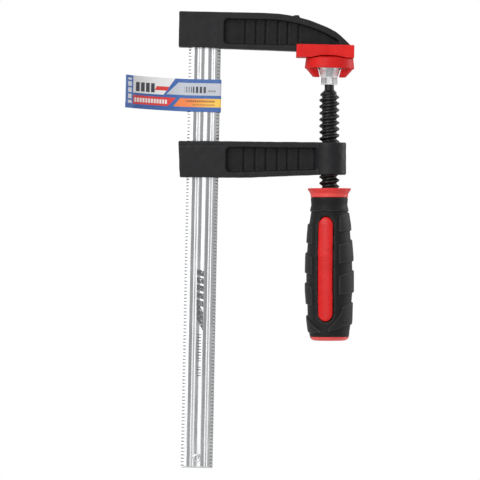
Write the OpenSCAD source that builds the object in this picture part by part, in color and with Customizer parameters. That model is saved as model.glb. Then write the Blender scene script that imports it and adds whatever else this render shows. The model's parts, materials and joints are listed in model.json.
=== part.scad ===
// F clamp with a serrated flat bar, a riding arm, a screw with a swivel pad and a two-material handle.
// Z runs up the bar towards the fixed arm, X runs from the bar out to the screw, Y is the thickness.
// The origin is where the screw's axis meets the plane of the fixed jaw's face. Jaws are closed.

/* [Bar] */
// Width of the bar
bar_w = 15; // [12:0.5:16]
// Thickness of the bar
bar_t = 5; // [4:0.5:6]
// Length of bar below the fixed jaw's face
bar_below = 193.7; // [190:0.1:260]
// Height of the stop pin's centre above the bar's lower end
stop_height = 4.8; // [4:0.1:8]

/* [Throat] */
// Distance from the bar's edge to the screw's axis
throat = 51; // [48:0.5:54]
// Angle by which the riding arm leans on the bar when it grips
lean = 1.15; // [0.8:0.05:1.3]

/* [Fixed arm] */
// Height of the fixed arm's flat top above the jaw face
arm_top = 20.4; // [19.5:0.1:21.5]
// Thickness of both arms' castings
arm_t = 11.4; // [11:0.2:12.4]
// Thickness of the web between the side recesses
web_t = 4.4; // [3:0.2:5]

/* [Jaws] */
// Diameter of the pad's soft cap
cap_d = 23; // [22:0.5:24]
// Width of the fixed jaw's soft cap
jaw_cap_w = 17; // [16:0.5:18]
// Gap left between the two caps when the jaws are closed
jaw_gap = 0.2; // [0.1:0.05:0.3]

/* [Screw] */
// Outer diameter of the thread
thread_d = 9.5; // [9:0.1:10]
// Pitch of the thread
pitch = 3; // [2.5:0.5:3]
// Diameter of the neck behind the ball
neck_d = 4.4; // [4:0.1:4.6]

/* [Handle] */
// Distance from the jaw face to the handle's collar
handle_start = 61.2; // [60.5:0.1:62]
// Length of the handle
handle_len = 71.6; // [70:0.1:73]
// Largest radius of the grip
grip_r = 11.6; // [11:0.1:12]

/* [Label] */
// Height of the folded card label
label_h = 15.3; // [12:0.1:16]

/* [Hidden] */
$fn = 96;
big = 200;
skin = 0.05;

bar_x = -(throat + bar_w / 2);
bar_low = -bar_below;
stop_d = 3.8;
stop_hole_d = 1.6;
stop_len = 8;

// Fixed arm, in X and Z
arm_left = bar_x - 12.4;
arm_tip = 9.8;
arm_low = 3.8;
flat_end = -30.5;
bow_r = 72;
bow_z = arm_top - bow_r;
rim = 3;
recess_low = 5.6;
recess_left = bar_x + 8.75;
recess_right = 4;
recess_round = 2;
lug_x = -15.8;
lug_w = 2.6;
lug_top = arm_top - 0.75;
foot_left = -14.2;
foot_low = 2.7;
foot_top = 5;
foot_w = 14.2;

// Soft caps
jaw_cap_left = -15.6;
jaw_cap_right = 11.5;
jaw_cap_top = 6;
dish_top = 0.85;
cap_h = 4.9;
crown = 0.75;
pad_flange_d = 19.6;
pad_flange_h = 3;
cap_floor = 1.5;
shelf = -jaw_gap - cap_h + 0.1;
leg_low = -9;
leg_reach = 7.6;
leg_wall = 2.7;
leg_half_angle = 28;

// Ball joint of the pad
ball_depth = 8;
ball_d = 6;
ball_gap = 0.15;
collar_d = 7.9;
collar_top = -9.2;
collar_low = -12.55;
cone_d = 10.8;

// Riding arm, in its own square frame, where the screw's axis is the Z axis
slot_play = 0.6;
side_play = 0.4;
slide_left = -70.9;
slide_top = -39.05;
slide_low = -56.2;
slot_x = bar_x + (slide_top + slide_low) / 2 * sin(lean);
boss_top = -39.7;
boss_low = -54.9;
boss_d = 15.8;
slide_head_end = -48.5;
slide_recess_end = -5;
bore_play = 0.16;

// Screw
thread_top = -16;
thread_low = -handle_start;
tang_d = 8;
tang_low = -112;
tooth = 1.3;

// Handle
handle_low = -(handle_start + handle_len);
collar_h = 4.2;
window_w = 8.6;
window_top = -74.7;
window_low = -123.4;
windows = 2;
window_turn = -8;
rim_h = 1.8;
grip_wall = 2.2;
core_r = 7.6;
window_depth = 1;
window_root = 5;
panel_bow_r = 250;
panel_mid = 103;

// Label
card = 0.35;
fold_gap = 0.2;
label_low = -26.6;
flag_straight = 2.5;
flag_bend_r = 28.5;
flag_bend = 69;

// Draws a shape of X and Z, as thick as t, centred on Y = 0
module slab(t) {
    rotate([90, 0, 0]) linear_extrude(height = t, center = true) children();
}

// A rectangle between two opposite corners
module span(a, b) {
    translate([a[0], a[1]]) square([b[0] - a[0], b[1] - a[1]]);
}

// Turns the riding arm's own frame about the origin, by the angle that it leans
module leaning() {
    rotate([0, -lean, 0]) children();
}

// Moves the pad onto the screw's ball, squared up to the fixed jaw
module on_ball() {
    translate([ball_depth * sin(lean), 0, ball_depth * (1 - cos(lean))]) children();
}

// Bar section with two outer grooves and a shallow middle one on each broad face
module bar_section() {
    groove_w = 3.1;
    floor_w = groove_w / 2;
    spacing = 3.3;
    difference() {
        square([bar_w, bar_t], center = true);
        for (side = [-1, 1], place = [-1, 0, 1]) {
            deep = place == 0 ? 0.3 : 0.45;
            translate([place * spacing, side * bar_t / 2])
                polygon([[-groove_w / 2, 1 * side], [-groove_w / 2, 0], [-floor_w / 2, -deep * side],
                         [floor_w / 2, -deep * side], [groove_w / 2, 0], [groove_w / 2, 1 * side]]);
        }
    }
}

module bar() {
    color("gainsboro") difference() {
        translate([bar_x, 0, bar_low]) linear_extrude(height = arm_top - bar_low) bar_section();
        translate([bar_x, 0, bar_low + stop_height]) rotate([90, 0, 0])
            cylinder(d = stop_d + 0.02, h = big, center = true);
    }
}

// Hollow pin that keeps the riding arm on the bar
module stop_pin() {
    color("silver") translate([bar_x, 0, bar_low + stop_height]) rotate([90, 0, 0]) difference() {
        cylinder(d = stop_d, h = stop_len, center = true);
        cylinder(d = stop_hole_d, h = big, center = true);
    }
}

// Side outline of the fixed arm, drawn in by the margin at its bowed top
module bowed(left, low, right, top, margin) {
    intersection() {
        span([left, low], [right, top]);
        union() {
            span([left, low], [flat_end, top]);
            translate([flat_end, bow_z]) circle(r = bow_r - margin, $fn = 240);
        }
    }
}

// Side recess of the fixed arm, with round corners at the bar's end
module fixed_recess() {
    r = recess_round;
    top = arm_top - rim;
    bowed(recess_left + r, recess_low, recess_right, top, rim);
    span([recess_left, recess_low + r], [recess_left + r, top - r]);
    for (z = [recess_low + r, top - r]) translate([recess_left + r, z]) circle(r = r);
}

// Side outline of the fixed arm, whose underside drops a little towards the foot
module fixed_outline() {
    beam_low = foot_low + 0.1;
    intersection() {
        bowed(arm_left, foot_low, arm_tip, arm_top, 0);
        polygon([[arm_left, arm_low], [foot_left, beam_low], [arm_tip, beam_low], [arm_tip, arm_top],
                 [arm_left, arm_top]]);
    }
}

module fixed_arm() {
    color([0.2, 0.2, 0.21]) difference() {
        union() {
            slab(arm_t) {
                fixed_outline();
                span([lug_x - lug_w / 2, arm_top - rim], [lug_x + lug_w / 2, lug_top]);
            }
            slab(foot_w) span([foot_left, foot_low], [arm_tip, foot_top]);
        }
        for (side = [-1, 1]) translate([0, side * (web_t + arm_t) / 2, 0]) slab(arm_t) fixed_recess();
        translate([bar_x, 0, 0]) cube([bar_w + skin, bar_t + skin, big], center = true);
    }
}

// Soft cap over the fixed arm's foot, with a shallow dish across its face
module fixed_jaw_cap() {
    color("crimson") difference() {
        slab(jaw_cap_w) difference() {
            span([jaw_cap_left, 0], [jaw_cap_right, jaw_cap_top]);
            polygon([[-8.5, -1], [-8.5, 0], [-4.2, dish_top], [3, dish_top], [7.3, 0], [7.3, -1]]);
        }
        slab(foot_w + 2 * skin) span([foot_left - skin, foot_low - skin], [arm_tip + skin, foot_top + skin]);
        slab(arm_t + 2 * skin) span([jaw_cap_left - 1, foot_low - skin], [arm_tip + skin, arm_top]);
    }
}

// Outline of the riding arm from its head to the screw boss
module slide_outline() {
    polygon([[slide_left, slide_top], [slide_left + 0.6, slide_low + 0.2], [slot_x + 8, slide_low],
             [slide_head_end + 10, slide_low], [0, boss_low + 0.2], [0, boss_top], [slot_x, slide_top]]);
}

// Side recess of the riding arm, with round corners at the bar's end; its other end runs into the boss
module slide_recess() {
    r = recess_round;
    top = -42;
    low = -53.6;
    polygon([[slide_head_end + r, top], [slide_recess_end, top - 0.4], [slide_recess_end, low + 1.2],
             [slide_head_end + r, low]]);
    span([slide_head_end, low + r], [slide_head_end + r, top - r]);
    for (z = [top - r, low + r]) translate([slide_head_end + r, z]) circle(r = r);
}

module sliding_arm() {
    color([0.2, 0.2, 0.21]) leaning() difference() {
        union() {
            difference() {
                slab(arm_t) slide_outline();
                for (side = [-1, 1]) translate([0, side * (web_t + arm_t) / 2, 0]) slab(arm_t) slide_recess();
            }
            translate([0, 0, boss_low]) cylinder(d = boss_d, h = boss_top - boss_low);
        }
        translate([slot_x, 0, 0]) cube([bar_w + slot_play, bar_t + side_play, big], center = true);
        cylinder(d = thread_d + bore_play, h = big, center = true);
    }
}

// Half section of the screw: neck, thread ridges, then the plain tang inside the handle
module spindle_profile() {
    core = thread_d / 2 - tooth;
    turns = floor((thread_top - thread_low) / pitch);
    ridges = [for (i = [0:turns - 1], p = [[core, 0.2], [thread_d / 2, 1.2], [thread_d / 2, 1.7], [core, 2.8]])
              [p[0], thread_top - i * pitch - p[1]]];
    polygon(concat([[0, -ball_depth], [neck_d / 2, -ball_depth], [neck_d / 2, thread_top + 1.2]], ridges,
                   [[core, thread_low], [tang_d / 2, thread_low], [tang_d / 2, tang_low], [0, tang_low]]));
}

module spindle() {
    color([0.14, 0.14, 0.15]) leaning() {
        translate([0, 0, -ball_depth]) sphere(d = ball_d);
        rotate_extrude() spindle_profile();
    }
}

module pressure_pad() {
    flange_top = -jaw_gap - cap_floor - skin;
    flange_low = flange_top - pad_flange_h;
    color("silver") on_ball() difference() {
        union() {
            translate([0, 0, flange_low]) cylinder(d = pad_flange_d, h = pad_flange_h);
            translate([0, 0, collar_top]) cylinder(d1 = collar_d - 0.2, d2 = cone_d, h = flange_low - collar_top);
            translate([0, 0, collar_low]) rotate(22.5)
                cylinder(d = collar_d / cos(22.5), h = collar_top - collar_low, $fn = 8);
        }
        translate([0, 0, -ball_depth]) sphere(d = ball_d + 2 * ball_gap);
        translate([0, 0, -ball_depth - 10]) cylinder(d = neck_d + 0.8, h = 10);
    }
}

// Half section of the pad's cap: crowned face, wall, and the skirt that slants in under the flange
module cap_profile() {
    top = -jaw_gap;
    low = top - cap_h;
    pocket_r = pad_flange_d / 2 + skin;
    polygon([[0, top + crown], [3.3, top + crown], [7.4, top], [cap_d / 2 - 0.5, top], [cap_d / 2, low],
             [cap_d / 2 - 0.6, low], [leg_reach, leg_low], [leg_reach - leg_wall, leg_low],
             [leg_reach - leg_wall + 1.1, shelf], [pocket_r, shelf], [pocket_r, top - cap_floor],
             [0, top - cap_floor]]);
}

// Soft cap on the pad; its skirt is cut away front and back, which leaves two clip legs
module pad_cap() {
    skirt_top = shelf + skin;
    across = cap_d * cos(leg_half_angle);
    along = cap_d * sin(leg_half_angle);
    color("crimson") on_ball() difference() {
        rotate_extrude() cap_profile();
        for (side = [0, 180]) rotate(side) translate([0, 0, leg_low - 1])
            linear_extrude(height = skirt_top - leg_low + 1)
                polygon([[0, 0], [across, along], [0, big], [-across, along]]);
    }
}

// Half section of the handle's outside, shrunk by the margin
module handle_outline(margin) {
    radii = [[10.2, 0], [10.1, 0.9], [8.8, 4.2], [8.5, 7.9], [9.3, 11.2], [10.2, 16.9], [10.8, 24.4],
             [11.4, 31.9], [grip_r, 41.3], [grip_r, 47.9], [11.1, 54.5], [10.9, 62], [10.3, 66.7],
             [9.3, 69.5], [8.2, 70.5], [7.2, 71.3], [6.6, handle_len]];
    polygon(concat([[0, thread_low]], [for (p = radii) [p[0] - margin, thread_low - p[1]]], [[0, handle_low]]));
}

// One window's prism from inside the core's tube outwards, with round ends
module window_prism(width) {
    translate([0, -window_root, 0]) rotate([90, 0, 0]) linear_extrude(height = grip_r) {
        span([-width / 2, window_low + width / 2], [width / 2, window_top - width / 2]);
        for (z = [window_low + width / 2, window_top - width / 2]) translate([0, z]) circle(d = width);
    }
}

// Angles at which the windows stand round the handle
function window_angles() = [for (i = [0:windows - 1]) window_turn + i * 360 / windows];

// Half section of the core's tube under the grip, swollen by the margin
module tube_profile(margin) {
    intersection() {
        handle_outline(grip_wall - margin);
        span([0, -big], [core_r + margin, thread_low]);
    }
}

// Half section of the stiff core: collar, tube and end rim, bored for the screw's tang
module core_profile() {
    difference() {
        union() {
            tube_profile(0);
            intersection() {
                handle_outline(0);
                union() {
                    span([0, thread_low - collar_h], [big, thread_low]);
                    span([0, handle_low], [big, handle_low + rim_h]);
                }
            }
        }
        span([-1, tang_low], [tang_d / 2 + skin, 0]);
    }
}

// Half section of the barrel whose face the panels share
module panel_profile() {
    intersection() {
        translate([grip_r - window_depth - panel_bow_r, -panel_mid]) circle(r = panel_bow_r, $fn = 256);
        span([0, window_low - 1], [grip_r, window_top + 1]);
    }
}

// Stiff core with the panels that show through the grip's windows
module handle_core() {
    color("crimson") leaning() {
        rotate(window_turn + 90) rotate_extrude() core_profile();
        for (a = window_angles()) intersection() {
            rotate(window_turn + 90) rotate_extrude() panel_profile();
            rotate(a) window_prism(window_w - 2 * skin);
        }
    }
}

// Soft grip over the core, open at the windows
module handle_grip() {
    color([0.13, 0.13, 0.14]) leaning() difference() {
        rotate(window_turn + 90) rotate_extrude() difference() {
            intersection() {
                handle_outline(0);
                span([0, handle_low + rim_h], [big, thread_low - collar_h]);
            }
            tube_profile(skin);
        }
        for (a = window_angles()) rotate(a) window_prism(window_w);
    }
}

// Folded card label: a sleeve round the bar and a flag that bends forward
module card_label() {
    inner = [bar_w + 2 * fold_gap, bar_t + 2 * fold_gap];
    front = -inner[1] / 2 - card;
    color("white") translate([bar_x, 0, label_low]) linear_extrude(height = label_h) {
        difference() {
            square([inner[0] + 2 * card, inner[1] + 2 * card], center = true);
            square(inner, center = true);
        }
        span([-inner[0] / 2 - flag_straight, front], [-inner[0] / 2, front + 2 * card]);
        translate([-inner[0] / 2 - flag_straight, front + 2 * card - flag_bend_r]) intersection() {
            difference() {
                circle(r = flag_bend_r, $fn = 180);
                circle(r = flag_bend_r - 2 * card, $fn = 180);
            }
            polygon([[0, 0], [0, big], [-big * tan(flag_bend), big]]);
        }
    }
}

bar();
stop_pin();
fixed_arm();
fixed_jaw_cap();
sliding_arm();
spindle();
pressure_pad();
pad_cap();
handle_core();
handle_grip();
card_label();
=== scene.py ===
"""Looks of the f clamp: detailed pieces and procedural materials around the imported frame.

Lengths are in millimetres until a mesh is made, and the row frame is used throughout: Z runs up the bar,
X runs from the bar out to the screw, and -Y is the front. The riding arm and the screw lean a little on the
bar, so their pieces are drawn in the screw's own frame, where its axis is Z, and then leant about the origin.
"""

import json
import math

import bmesh
import bpy
import numpy as np
from mathutils import Matrix, Vector


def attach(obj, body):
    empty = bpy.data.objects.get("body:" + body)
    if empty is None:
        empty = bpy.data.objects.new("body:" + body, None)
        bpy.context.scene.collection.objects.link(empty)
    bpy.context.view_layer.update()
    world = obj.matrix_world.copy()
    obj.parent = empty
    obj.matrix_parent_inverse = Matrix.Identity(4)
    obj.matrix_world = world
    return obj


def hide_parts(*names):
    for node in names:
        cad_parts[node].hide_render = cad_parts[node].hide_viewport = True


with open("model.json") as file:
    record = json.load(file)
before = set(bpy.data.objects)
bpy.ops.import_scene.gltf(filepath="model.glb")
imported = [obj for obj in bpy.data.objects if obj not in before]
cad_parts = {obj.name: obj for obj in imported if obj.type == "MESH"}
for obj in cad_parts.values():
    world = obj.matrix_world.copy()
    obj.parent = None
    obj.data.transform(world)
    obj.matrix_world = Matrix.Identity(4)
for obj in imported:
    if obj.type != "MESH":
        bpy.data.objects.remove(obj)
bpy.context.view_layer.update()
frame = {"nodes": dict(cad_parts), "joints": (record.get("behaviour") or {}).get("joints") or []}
MM = 0.001
TAU = 2 * math.pi

joints = {j["name"]: j for j in frame["joints"]}
axis = joints["pad_advance"]["axis"]
LEAN = math.atan2(axis[0], -axis[2])


# ---------------------------------------------------------------- places taken from the frame
def node_points(node, own=False):
    """The vertices of a CAD node in millimetres; own=True gives them in the screw's own frame."""
    points = np.array([v.co for v in frame["nodes"][node].data.vertices]) / MM
    return unlean(points) if own else points


def turn_y(points, angle):
    """Points turned by the angle about the Y axis, X towards Z."""
    x, y, z = points[..., 0], points[..., 1], points[..., 2]
    c, s = math.cos(angle), math.sin(angle)
    return np.stack([x * c - z * s, y, x * s + z * c], -1)


def lean(points):
    return turn_y(points, LEAN)


def unlean(points):
    return turn_y(points, -LEAN)


def extent(node, own=False):
    points = node_points(node, own)
    return points.min(0), points.max(0)


# ---------------------------------------------------------------- shapes in numpy
def smooth(low, high, x):
    """0 below low, 1 above high, and an S curve between them."""
    t = np.clip((np.asarray(x, float) - low) / (high - low), 0, 1)
    return t * t * (3 - 2 * t)


def between(low, high, x, soft):
    """1 inside low to high, 0 outside, with soft edges centred on the limits."""
    return smooth(low - soft / 2, low + soft / 2, x) * (1 - smooth(high - soft / 2, high + soft / 2, x))


def waves(*coords, seed, count=9, size=1.0):
    """Smooth seeded noise from -1 to 1: a sum of sines whose wavelengths are about the given size."""
    rng = np.random.default_rng(seed)
    total = 0
    for _ in range(count):
        direction = rng.normal(size=len(coords))
        direction *= rng.uniform(0.6, 1.6) * TAU / size / np.linalg.norm(direction)
        total = total + np.sin(sum(d * c for d, c in zip(direction, coords)) + rng.uniform(0, TAU))
    return total / math.sqrt(count)


def grid_faces(rows, cols):
    """Quads between the points of a grid whose last column joins the first."""
    i = np.arange(rows - 1)[:, None] * cols
    j = np.arange(cols)[None, :]
    k = (j + 1) % cols
    return np.stack([i + j, i + k, i + cols + k, i + cols + j], -1).reshape(-1, 4).tolist()


def tube_mesh(rings, closed=False):
    """Points and faces of a tube through rings of shape (rows, cols, 3). A closed tube joins its last ring to
    its first; an open one is capped at both ends."""
    rows, cols, _ = rings.shape
    points = rings.reshape(-1, 3)
    faces = grid_faces(rows, cols)
    if closed:
        last = (rows - 1) * cols
        faces += [[last + j, last + (j + 1) % cols, (j + 1) % cols, j] for j in range(cols)]
    else:
        faces += [list(range(cols))[::-1], list(range((rows - 1) * cols, rows * cols))]
    return points, faces


def turned(profile, angles, radius_of=None):
    """Rings round Z from a profile of (radius, height) rows; radius_of may change the radii by angle."""
    profile = np.asarray(profile, float)
    r, z = profile[:, 0][:, None], profile[:, 1][:, None]
    a = angles[None, :]
    if radius_of is not None:
        r = radius_of(r, z, a)
    r, z = np.broadcast_arrays(r + 0 * a, z + 0 * a)
    return np.stack([r * np.cos(a), r * np.sin(a), z], -1)


def fine(profile, step):
    """A profile with points added so that none are further apart than step."""
    out = [profile[0]]
    for a, b in zip(profile, profile[1:]):
        count = max(1, math.ceil(math.dist(a, b) / step))
        for i in range(1, count + 1):
            out.append([a[0] + (b[0] - a[0]) * i / count, a[1] + (b[1] - a[1]) * i / count])
    return out


def around(count):
    return np.arange(count) * TAU / count


# ---------------------------------------------------------------- pieces
def make(name, points, faces, body, nodes, material, attributes=None, sharp=None):
    """A piece from points in millimetres, which rides on a body and stands for CAD nodes."""
    mesh = bpy.data.meshes.new(name)
    mesh.from_pydata((np.asarray(points) * MM).tolist(), [], faces)
    return dress(name, mesh, body, nodes, material, attributes, sharp)


def dress(name, mesh, body, nodes, material, attributes=None, sharp=None):
    """Puts a mesh into the scene as a piece with its body, slot, material and vertex attributes."""
    bm = bmesh.new()
    bm.from_mesh(mesh)
    bmesh.ops.recalc_face_normals(bm, faces=bm.faces)
    bm.to_mesh(mesh)
    bm.free()
    mesh.polygons.foreach_set("use_smooth", [True] * len(mesh.polygons))
    if sharp:
        mesh.set_sharp_from_angle(angle=math.radians(sharp))
    for key, values in (attributes or {}).items():
        attribute = mesh.attributes.new(key, "FLOAT", "POINT")
        attribute.data.foreach_set("value", np.asarray(values, np.float32).ravel())
    mesh.materials.clear()
    mesh.materials.append(material)
    piece = bpy.data.objects.new(name, mesh)
    bpy.context.scene.collection.objects.link(piece)
    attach(piece, body)
    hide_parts(*nodes)
    return piece


def mesh_arrays(mesh):
    """Points and normals in millimetres, and the edges, of a mesh."""
    points = np.zeros(len(mesh.vertices) * 3)
    mesh.vertices.foreach_get("co", points)
    normals = np.zeros(len(mesh.vertices) * 3, np.float32)
    mesh.vertices.foreach_get("normal", normals)
    edges = np.zeros(len(mesh.edges) * 2, np.int32)
    mesh.edges.foreach_get("vertices", edges)
    return points.reshape(-1, 3) / MM, normals.reshape(-1, 3).astype(float), edges.reshape(-1, 2)


def spread(values, edges, count, rounds):
    """Averages values of each vertex with its neighbours, a number of rounds."""
    values = np.asarray(values, float)
    flat = values.reshape(count, -1)
    degree = np.bincount(edges.ravel(), minlength=count)[:, None].astype(float)
    for _ in range(rounds):
        total = np.zeros_like(flat)
        for column in range(flat.shape[1]):
            total[:, column] = np.bincount(edges[:, 0], flat[edges[:, 1], column], count)
            total[:, column] += np.bincount(edges[:, 1], flat[edges[:, 0], column], count)
        flat = 0.5 * flat + 0.5 * total / np.maximum(degree, 1)
    return flat.reshape(values.shape)


def roundness(mesh, rounds=2):
    """Per vertex, how sharply the surface bends: above 0 on outer edges, below 0 in corners and grooves."""
    points, normals, edges = mesh_arrays(mesh)
    a, b = edges[:, 0], edges[:, 1]
    d = points[b] - points[a]
    length = np.maximum(np.linalg.norm(d, axis=1), 1e-9)
    bend_a = -(d * normals[a]).sum(1) / length
    bend_b = (d * normals[b]).sum(1) / length
    count = len(points)
    total = np.bincount(a, bend_a, count) + np.bincount(b, bend_b, count)
    return spread(total / np.maximum(np.bincount(edges.ravel(), minlength=count), 1), edges, count, rounds)


def mark_edges(piece, rounds=2):
    """Stores the roundness of a piece as its edge attribute, for wear on edges and painted shade in corners.
    """
    attribute = piece.data.attributes.new("edge", "FLOAT", "POINT")
    attribute.data.foreach_set("value", roundness(piece.data, rounds).astype(np.float32))
    return piece


def cast_copy(node, voxel, rounds):
    """A CAD node's shape as an even mesh of small cells with softened edges, like a moulded part."""
    bm = bmesh.new()
    bm.from_mesh(frame["nodes"][node].data)
    bmesh.ops.remove_doubles(bm, verts=bm.verts, dist=1e-6)
    mesh = bpy.data.meshes.new(node + "_copy")
    bm.to_mesh(mesh)
    bm.free()
    source = bpy.data.objects.new(node + "_copy", mesh)
    bpy.context.scene.collection.objects.link(source)
    remesh = source.modifiers.new("cells", "REMESH")
    remesh.mode = "VOXEL"
    remesh.voxel_size = voxel * MM
    soften = source.modifiers.new("soften", "SMOOTH")
    soften.factor = 0.5
    soften.iterations = rounds
    graph = bpy.context.evaluated_depsgraph_get()
    made = bpy.data.meshes.new_from_object(source.evaluated_get(graph))
    bpy.data.objects.remove(source)
    return made


def settle(mesh, points, node, margin=0.0):
    """Moves a mesh's vertices to the points, kept inside a CAD node's box and a margin to its sides."""
    low, high = extent(node)
    reach = np.array([margin, margin, 0])
    mesh.vertices.foreach_set("co", (np.clip(points, low - reach, high + reach) * MM).ravel())
    mesh.update()


# ---------------------------------------------------------------- material nodes
class Nodes:
    """Short calls that add nodes to a node tree."""

    def __init__(self, tree):
        self.tree = tree
        tree.nodes.clear()

    def add(self, kind, inputs=None, **settings):
        made = self.tree.nodes.new(kind)
        for key, value in settings.items():
            setattr(made, key, value)
        for key, value in (inputs or {}).items():
            self.link(value, made.inputs[key])
        return made

    def link(self, value, socket):
        if isinstance(value, bpy.types.NodeSocket):
            self.tree.links.new(value, socket)
        else:
            socket.default_value = value

    def math(self, operation, a, b=0.0):
        return self.add("ShaderNodeMath", {0: a, 1: b}, operation=operation).outputs[0]

    def times(self, a, b):
        return self.math("MULTIPLY", a, b)

    def ramp(self, value, low, high, out_low=0.0, out_high=1.0):
        """Maps low..high to out_low..out_high with an S curve."""
        inputs = {0: value, 1: low, 2: high, 3: out_low, 4: out_high}
        return self.add("ShaderNodeMapRange", inputs, interpolation_type="SMOOTHSTEP").outputs[0]


class Look(Nodes):
    """A material with one Principled shader."""

    def __init__(self, name, **constants):
        self.material = bpy.data.materials.new(name)
        self.material.use_nodes = True
        super().__init__(self.material.node_tree)
        self.shader = self.add("ShaderNodeBsdfPrincipled")
        self.add("ShaderNodeOutputMaterial", {0: self.shader.outputs[0]})
        for key, value in constants.items():
            self.shader.inputs[key.replace("_", " ")].default_value = value
        self.place = self.add("ShaderNodeTexCoord").outputs["Object"]
        self.bump_from = None

    def stretch(self, scale):
        return self.add("ShaderNodeMapping", {"Vector": self.place, "Scale": scale}).outputs[0]

    def noise(self, size, detail=3.0, scale=(1, 1, 1)):
        """Noise whose cells are about size millimetres; scale squeezes it along the axes."""
        inputs = {"Vector": self.stretch(scale), "Scale": 1 / (size * MM)}
        inputs |= {"Detail": detail, "Roughness": 0.55}
        return self.add("ShaderNodeTexNoise", inputs).outputs["Fac"]

    def cells(self, size, scale=(1, 1, 1), feature="F1"):
        inputs = {"Vector": self.stretch(scale), "Scale": 1 / (size * MM)}
        return self.add("ShaderNodeTexVoronoi", inputs, feature=feature).outputs["Distance"]

    def attribute(self, name):
        return self.add("ShaderNodeAttribute", attribute_name=name).outputs["Fac"]

    def mix(self, share, a, b):
        made = self.add("ShaderNodeMix", data_type="RGBA")
        colours = [s for s in made.inputs if s.type == "RGBA"]
        self.link(share, made.inputs[0])
        self.link(tint(a), colours[0])
        self.link(tint(b), colours[1])
        return next(s for s in made.outputs if s.type == "RGBA")

    def bump(self, height, distance, strength=1.0):
        """Adds a relief of the given depth in millimetres on top of those added before."""
        inputs = {"Height": height, "Distance": distance * MM, "Strength": strength}
        if self.bump_from is not None:
            inputs["Normal"] = self.bump_from
        self.bump_from = self.add("ShaderNodeBump", inputs).outputs[0]
        self.tree.links.new(self.bump_from, self.shader.inputs["Normal"])

    def finish(self, colour=None, roughness=None, metallic=None):
        for key, value in (("Base Color", colour), ("Roughness", roughness), ("Metallic", metallic)):
            if value is not None:
                self.link(tint(value), self.shader.inputs[key])
        return self.material


def tint(value):
    """A colour triple gets its alpha; anything else passes."""
    return (*value, 1.0) if isinstance(value, tuple) and len(value) == 3 else value


def casting_look():
    look = Look("black powder coat", IOR=1.45, Specular_IOR_Level=0.27)
    wear = look.attribute("edge")
    worn = look.times(look.ramp(wear, 0.10, 0.30), look.ramp(look.noise(2.2), 0.35, 0.62))
    # hollow: painted shade in corners and grooves, where the surface bends inwards
    hollow = look.ramp(wear, -0.16, -0.03, 1.0, 0.0)
    grain = look.noise(0.55, 2.0)
    clouds = look.ramp(look.noise(9.0), 0.3, 0.7)
    colour = look.mix(clouds, (0.0098, 0.0098, 0.0112), (0.0132, 0.0132, 0.0146))
    colour = look.mix(look.ramp(grain, 0.35, 0.75, 0.0, 0.35), colour, (0.0215, 0.022, 0.024))
    # painted shade: the recess floors of the arms are darkened
    colour = look.mix(look.times(look.attribute("recess"), 0.6), colour, (0.002, 0.002, 0.0022))
    colour = look.mix(look.times(hollow, 0.9), colour, (0.0015, 0.0015, 0.002))
    # paler edges: edge wear; along the sliding arm's crease the same colour is a painted highlight
    colour = look.mix(look.times(worn, 0.55), colour, (0.10, 0.102, 0.106))
    look.bump(look.cells(0.75, feature="SMOOTH_F1"), 0.05, 0.5)
    look.bump(grain, 0.03, 0.6)
    look.bump(look.noise(0.16, 2.0), 0.012, 0.5)
    patches = look.ramp(look.noise(1.4), 0.3, 0.7, 0.42, 0.56)
    roughness = look.math("ADD", patches, look.times(worn, -0.1))
    return look.finish(colour, roughness)


def zinc_look():
    """Bright zinc on drawn steel: lengthwise streaks, rubbed patches, dark strokes up the front, and painted
    shade in the notches.
    """
    look = Look("bright zinc", Metallic=1.0)
    streaks = look.noise(0.35, 3.0, scale=(1, 1, 0.02))
    fine_streaks = look.noise(0.12, 2.0, scale=(1, 1, 0.04))
    patches = look.noise(6.0, 4.0, scale=(1, 1, 0.35))
    spots = look.cells(3.2, scale=(1, 1, 0.6))
    colour = look.mix(look.ramp(streaks, 0.3, 0.7), (0.60, 0.61, 0.622), (0.71, 0.715, 0.72))
    colour = look.mix(look.ramp(patches, 0.58, 0.75, 0.0, 0.25), colour, (0.56, 0.57, 0.59))
    # painted shade in the notches: the colour darkens with the notch's depth
    notch = look.attribute("notch")
    colour = look.mix(look.times(notch, 0.92), colour, (0.05, 0.05, 0.053))
    printed = look.attribute("print")
    wear = look.ramp(look.noise(0.5, 3.0), 0.32, 0.46)
    ink = look.times(look.ramp(printed, 0.35, 0.6), wear)
    colour = look.mix(look.times(ink, 0.9), colour, (0.035, 0.035, 0.037))
    roughness = look.ramp(patches, 0.35, 0.7, 0.2, 0.33)
    roughness = look.math("ADD", roughness, look.ramp(spots, 0.0, 0.5, 0.03, 0.0))
    roughness = look.math("ADD", roughness, look.times(ink, 0.3))
    metal = look.math("SUBTRACT", 1.0, look.times(ink, 0.85))
    look.bump(streaks, 0.012, 0.35)
    look.bump(fine_streaks, 0.006, 0.4)
    look.bump(look.noise(1.6, 3.0), 0.02, 0.25)
    return look.finish(colour, roughness, metal)


def pin_look():
    look = Look("pin steel", Metallic=1.0)
    patches = look.noise(0.8, 3.0)
    look.bump(look.noise(0.3, 3.0), 0.015, 0.5)
    colour = look.mix(look.ramp(patches, 0.3, 0.7), (0.55, 0.56, 0.58), (0.85, 0.85, 0.86))
    return look.finish(colour, look.ramp(patches, 0.3, 0.7, 0.24, 0.4))


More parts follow.
